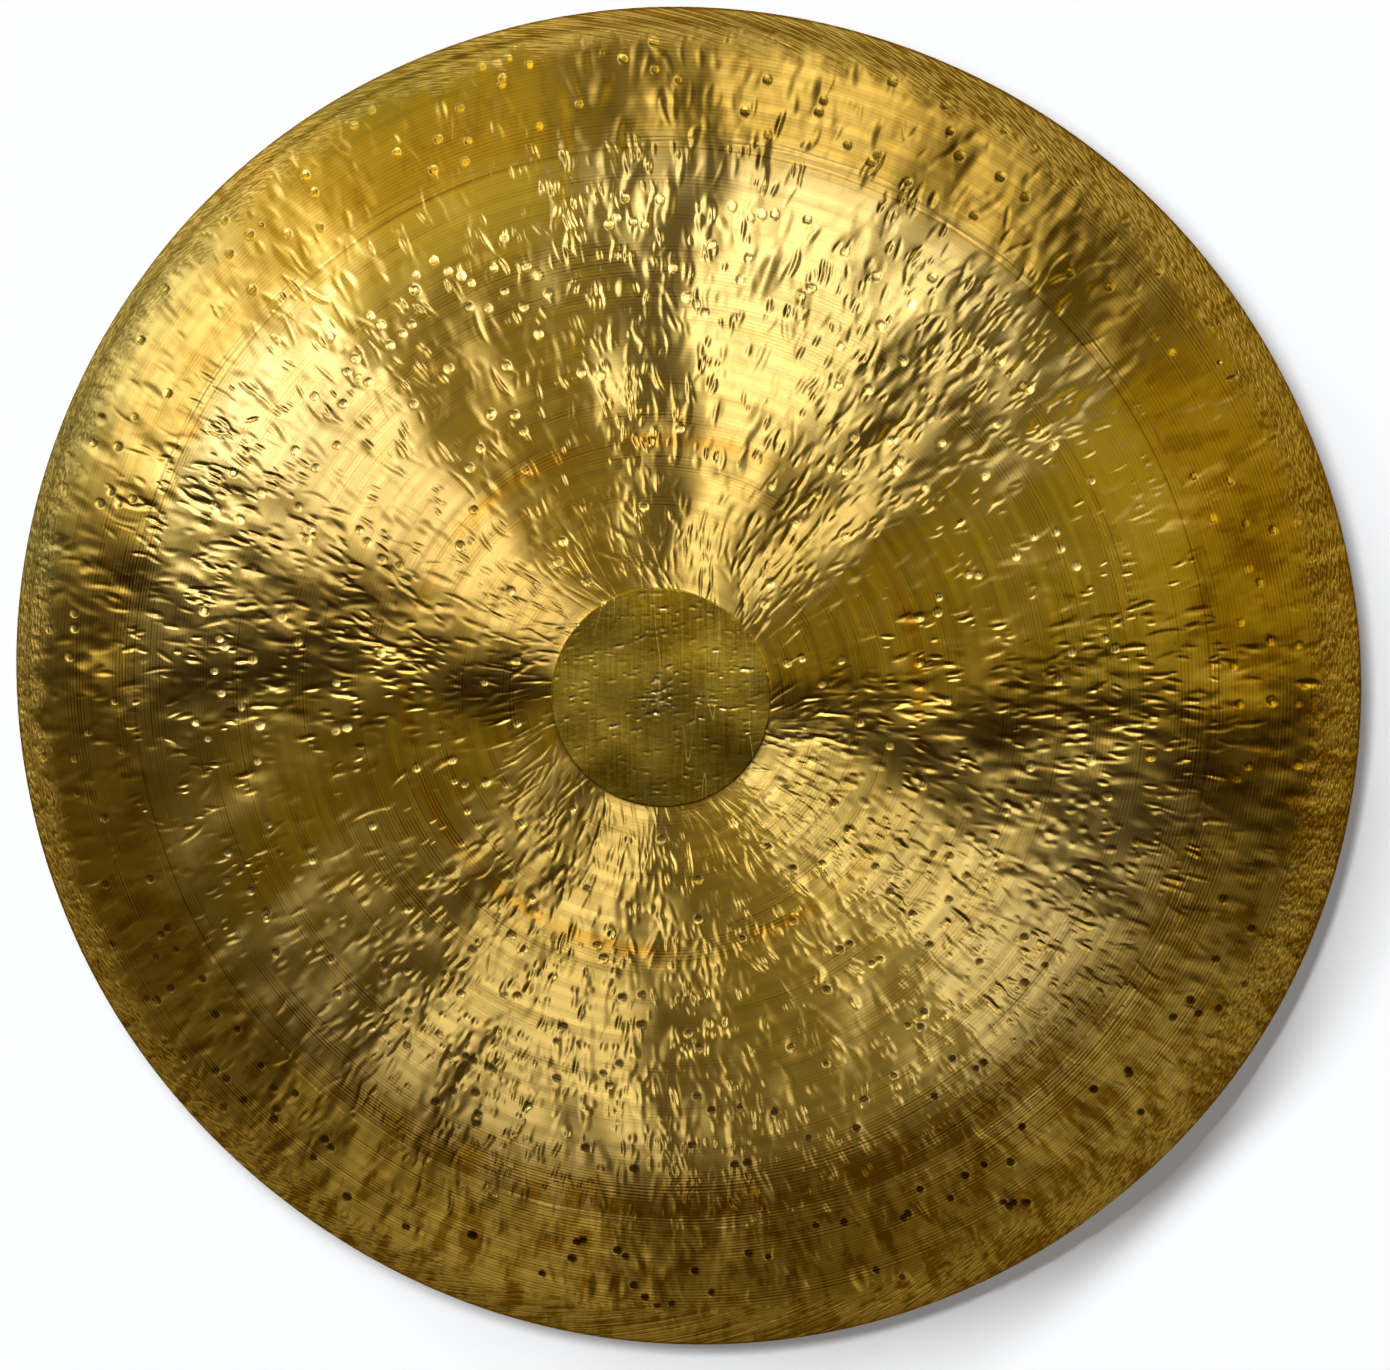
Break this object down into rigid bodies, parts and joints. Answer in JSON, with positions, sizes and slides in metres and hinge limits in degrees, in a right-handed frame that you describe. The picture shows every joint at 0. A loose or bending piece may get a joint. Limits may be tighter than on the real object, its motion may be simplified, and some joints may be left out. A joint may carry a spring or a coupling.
{
  "type": "feng gong",
  "caption": "Round hammered bronze gong plate: a flat turned face with an unturned centre disc, and a rounded shoulder with a crease ring inside a sloping beaten rim.",
  "frame": {"origin": "middle of the plate's outline, on the surface that its rim lies on", "axes": "+Z along the plate's axis, out of the turned front face; +X to the right and +Y up as the front face is pictured"},
  "size_m": [0.8, 0.8, 0.0262],
  "materials": {
    "golden_bronze": "hammered, lathe-turned golden bronze with brown oxide left in the centre disc, along the rings and at the rim"
  },
  "bodies": {
    "root": {"gong_plate": "golden_bronze"}
  },
  "joints": []
}
